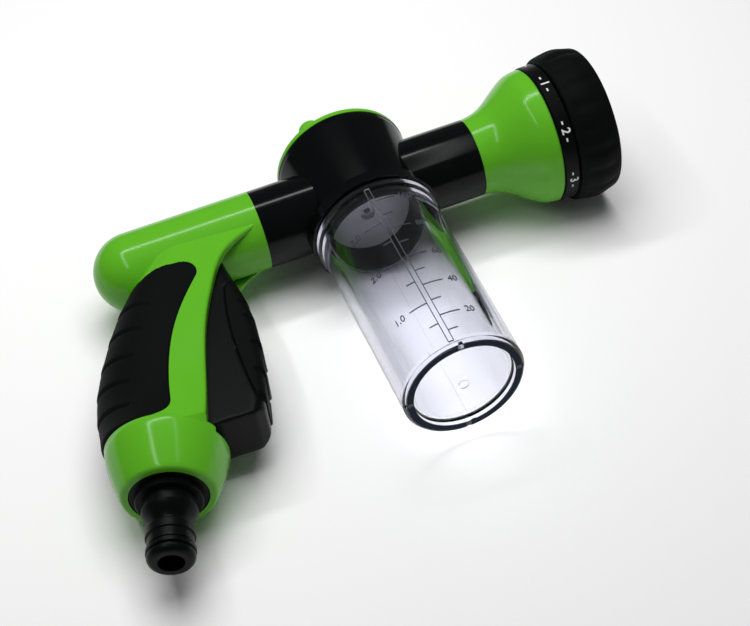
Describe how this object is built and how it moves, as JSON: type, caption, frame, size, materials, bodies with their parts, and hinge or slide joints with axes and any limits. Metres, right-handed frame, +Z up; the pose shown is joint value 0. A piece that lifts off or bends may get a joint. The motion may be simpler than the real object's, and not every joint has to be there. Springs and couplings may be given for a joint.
{
  "type": "hose spray nozzle",
  "caption": "Pistol-grip garden hose gun with a front trigger, a turning spray head, a dial on top and a clear screw-on soap cup below the barrel.",
  "frame": {"origin": "middle of the underside of the gun as it lies on its left side", "axes": "+X forward along the barrel towards the spray head, +Y towards the dial, +Z up, out of the gun's right side"},
  "size_m": [0.2346, 0.1726, 0.0628],
  "materials": {
    "green_plastic": "bright glossy moulded plastic",
    "gloss_black": "glossy moulded plastic",
    "satin_black": "satin moulded plastic",
    "soft_black": "matte soft-touch rubber",
    "grey_plastic": "pale grey moulded plastic",
    "clear_plastic": "clear moulded plastic, glossy",
    "brass": "turned",
    "steel": "plain",
    "rubber": "moulded"
  },
  "bodies": {
    "gun": {"handle_body": "green_plastic", "grip_insert": "soft_black", "trigger_pin": "steel", "valve_gland": "satin_black", "gland_o_ring": "rubber", "valve_spring": "steel", "valve_plug": "satin_black", "inlet_connector": "satin_black", "connector_washer": "rubber", "inlet_filter": "steel", "mixer_housing": "gloss_black", "rear_o_ring": "rubber", "mixing_plate": "grey_plastic", "cup_gasket": "rubber", "bell_housing": "green_plastic", "front_o_ring": "rubber", "head_seal": "rubber", "detent_spring": "steel", "detent_ball": "steel", "head_screw": "steel"},
    "trigger": {"trigger": "satin_black", "trigger_pad": "soft_black"},
    "valve": {"valve_stem": "brass", "valve_washer": "rubber", "spring_cap": "satin_black"},
    "dial": {"selector_dial": "green_plastic", "selector_spindle": "grey_plastic", "spindle_o_ring": "rubber"},
    "cup": {"soap_cup": "clear_plastic"},
    "head": {"pattern_disc": "satin_black", "label_ring": "satin_black", "spray_head": "soft_black", "face_plate": "satin_black"}
  },
  "joints": [
    {"name": "trigger_pull", "type": "hinge", "parent": "gun", "child": "trigger", "pos_m": [-0.06616, 0.02565, 0.02392], "axis": [0.0424, 0.0042, -0.9991], "range_deg": [0, 7], "stiffness_Nm_per_rad": 0.6, "springref_deg": -20.05},
    {"name": "valve_slide", "type": "slide", "parent": "gun", "child": "valve", "axis": [-0.9664, 0.2538, -0.0399], "range_m": [0, 0.00413], "deforming": ["valve_spring"]},
    {"name": "head_turn", "type": "hinge", "parent": "gun", "child": "head", "pos_m": [0.10715, 0.05485, 0.0314], "axis": [0.9991, -0.0002, 0.0424], "continuous": true},
    {"name": "dial_turn", "type": "hinge", "parent": "gun", "child": "dial", "pos_m": [0.01324, 0.07587, 0.0275], "axis": [0, 1, 0.0042], "range_deg": [0, 90]},
    {"name": "cup_twist", "type": "hinge", "parent": "gun", "child": "cup", "pos_m": [0.01324, -0.00513, 0.02716], "axis": [0, 1, 0.0042], "range_deg": [0, 45]}
  ],
  "couplings": [
    {"joint": "valve_slide", "follows": "trigger_pull", "m_per_rad": 0.033}
  ]
}
